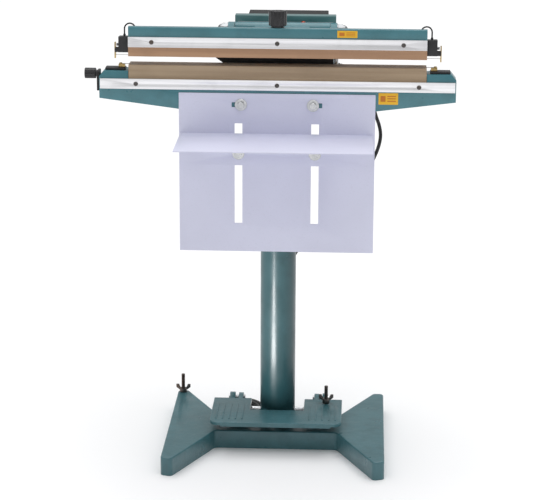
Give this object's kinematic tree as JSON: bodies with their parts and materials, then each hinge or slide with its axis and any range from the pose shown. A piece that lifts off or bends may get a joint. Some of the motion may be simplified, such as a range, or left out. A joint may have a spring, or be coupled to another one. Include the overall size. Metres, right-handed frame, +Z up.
{
  "type": "foot-operated impulse heat sealer",
  "caption": "Foot-operated impulse heat sealer on a column stand: hinged sealing arm over a fixed jaw, pedal linkage, hanging work table with shelf, control box and mains lead.",
  "frame": {"origin": "on the column's axis at the floor, in the plane of the base casting's underside", "axes": "+Z up along the column; +X to the operator's right along the jaws; +Y away from the operator"},
  "size_m": [0.763, 0.583, 0.9521],
  "materials": {
    "teal_casting": "teal enamel on rough casting, satin gloss",
    "teal_steel": "teal enamel on smooth steel, glossy",
    "teal_alloy": "teal enamel on cast alloy, satin gloss",
    "bare_aluminium": "mill finish",
    "strip_aluminium": "satin anodised",
    "ribbon_alloy": "rolled resistance ribbon",
    "sealing_cloth": "woven glass cloth coated with fluoropolymer, satin",
    "dark_steel": "blackened, slightly worn",
    "plated_steel": "zinc plated",
    "bright_chrome": "polished",
    "spring_steel": "drawn wire",
    "black_plastic": "moulded, matt",
    "knob_plastic": "moulded, semi-gloss",
    "brass": "bare brass, slightly tarnished",
    "black_sheet": "black powder coat, fine texture",
    "legend_enamel": "light grey enamel",
    "lamp_lens": "translucent orange-red lens",
    "core_iron": "varnished laminations and taped winding",
    "lead_rubber": "smooth black insulation",
    "pale_sheet": "pale lavender-grey powder coat"
  },
  "bodies": {
    "stand": {"base_casting": "teal_casting", "lower_arm": "teal_casting", "column_tube": "teal_steel", "control_box": "teal_steel", "lower_jaw_bar": "bare_aluminium", "lower_clamp_strip": "strip_aluminium", "lower_heating_ribbon": "ribbon_alloy", "lower_sealing_cloth": "sealing_cloth", "lower_strip_screws": "dark_steel", "levelling_stud": "dark_steel", "pedal_stop_stud": "dark_steel", "pedal_pivot_pins": "plated_steel", "stop_post": "plated_steel", "hinge_shaft": "plated_steel", "table_bolts": "plated_steel", "hinge_dome_nuts": "bright_chrome", "return_spring": "spring_steel", "lower_terminal_blocks": "black_plastic", "limit_switch": "black_plastic", "switch_frame": "black_plastic", "lower_terminals": "brass", "end_bracket": "black_sheet", "neck_cover": "black_sheet", "rear_cover": "black_sheet", "lead_clip": "black_plastic", "legend_plate": "legend_enamel", "pilot_lamp": "lamp_lens", "transformer": "core_iron", "cord_gland": "lead_rubber", "mains_lead": "lead_rubber", "mains_lead_tail": "lead_rubber", "mains_lead_coil": "lead_rubber", "mains_plug": "lead_rubber"},
    "levelling_nut": {"levelling_wing_nut": "dark_steel"},
    "pedal_nut": {"pedal_wing_nut": "dark_steel"},
    "end_knob": {"end_knob": "knob_plastic"},
    "switch_lever": {"limit_switch_lever": "plated_steel"},
    "rocker": {"power_rocker": "black_plastic"},
    "timer": {"timer_knob": "black_plastic"},
    "table": {"table_plate": "pale_sheet"},
    "shelf": {"shelf": "pale_sheet", "shelf_bolts": "plated_steel"},
    "pedal": {"foot_pedal": "teal_casting", "pedal_link_pin": "plated_steel"},
    "rod": {"pull_rod": "plated_steel"},
    "arm": {"upper_arm": "teal_alloy", "upper_jaw_bar": "bare_aluminium", "upper_heating_ribbon": "ribbon_alloy", "upper_sealing_cloth": "sealing_cloth", "upper_clamp_strip": "strip_aluminium", "upper_strip_screws": "dark_steel", "upper_terminal_blocks": "black_plastic", "electrode_springs": "spring_steel", "upper_leads": "lead_rubber", "arm_link_pin": "plated_steel", "switch_trip_screw": "plated_steel"},
    "left_electrode": {"left_electrode": "brass"},
    "right_electrode": {"right_electrode": "brass"},
    "arm_knob": {"arm_hand_knob": "knob_plastic"}
  },
  "joints": [
    {"name": "pedal_press", "type": "hinge", "parent": "stand", "child": "pedal", "pos_m": [0, 0.075, 0.058], "axis": [1, 0, 0], "range_deg": [0, 7.68]},
    {"name": "arm_close", "type": "hinge", "parent": "stand", "child": "arm", "pos_m": [0, 0.16, 0.872], "axis": [1, 0, 0], "range_deg": [0, 3.6], "stiffness_Nm_per_rad": 60, "springref_deg": -25.78, "deforming": ["return_spring"]},
    {"name": "rod_pull", "type": "slide", "parent": "stand", "child": "rod", "axis": [0, 0, -1], "range_m": [0, 0.0101]},
    {"name": "limit_lever_press", "type": "hinge", "parent": "stand", "child": "switch_lever", "pos_m": [0.022, 0.044, 0.828], "axis": [1, 0, 0], "range_deg": [-10.4, 0]},
    {"name": "timer_turn", "type": "hinge", "parent": "stand", "child": "timer", "pos_m": [-0.046, 0.186, 0.858], "axis": [0, -1, 0], "range_deg": [0, 270]},
    {"name": "rocker_tilt", "type": "hinge", "parent": "stand", "child": "rocker", "pos_m": [0.065, 0.1885, 0.872], "axis": [1, 0, 0], "range_deg": [0, 16]},
    {"name": "arm_knob_turn", "type": "hinge", "parent": "arm", "child": "arm_knob", "pos_m": [0, -0.08769, 0.91664], "axis": [0, 0.0628, 0.998], "continuous": true},
    {"name": "end_knob_turn", "type": "hinge", "parent": "stand", "child": "end_knob", "pos_m": [-0.38, -0.089, 0.8175], "axis": [-1, 0, 0], "continuous": true},
    {"name": "levelling_nut_turn", "type": "hinge", "parent": "stand", "child": "levelling_nut", "pos_m": [-0.221, 0.15, 0.05], "axis": [0, 0, 1], "continuous": true},
    {"name": "pedal_nut_turn", "type": "hinge", "parent": "stand", "child": "pedal_nut", "pos_m": [0.106, 0.005, 0.08], "axis": [0, 0, 1], "continuous": true},
    {"name": "left_electrode_swing", "type": "hinge", "parent": "arm", "child": "left_electrode", "pos_m": [-0.331, -0.08783, 0.86655], "axis": [0, 0.998, -0.0628], "range_deg": [0, 4], "stiffness_Nm_per_rad": 0.5, "springref_deg": -11.46},
    {"name": "right_electrode_swing", "type": "hinge", "parent": "arm", "child": "right_electrode", "pos_m": [0.331, -0.08783, 0.86655], "axis": [0, -0.998, 0.0628], "range_deg": [0, 4], "stiffness_Nm_per_rad": 0.5, "springref_deg": -11.46},
    {"name": "table_shift", "type": "slide", "parent": "stand", "child": "table", "axis": [1, 0, 0], "range_m": [-0.0045, 0.0045]},
    {"name": "shelf_height", "type": "slide", "parent": "table", "child": "shelf", "axis": [0, 0, 1], "range_m": [-0.136, 0.044]}
  ],
  "couplings": [
    {"joint": "arm_close", "follows": "pedal_press", "ratio": 0.46875},
    {"joint": "rod_pull", "follows": "pedal_press", "m_per_rad": 0.075},
    {"joint": "limit_lever_press", "follows": "pedal_press", "ratio": -1.344}
  ]
}
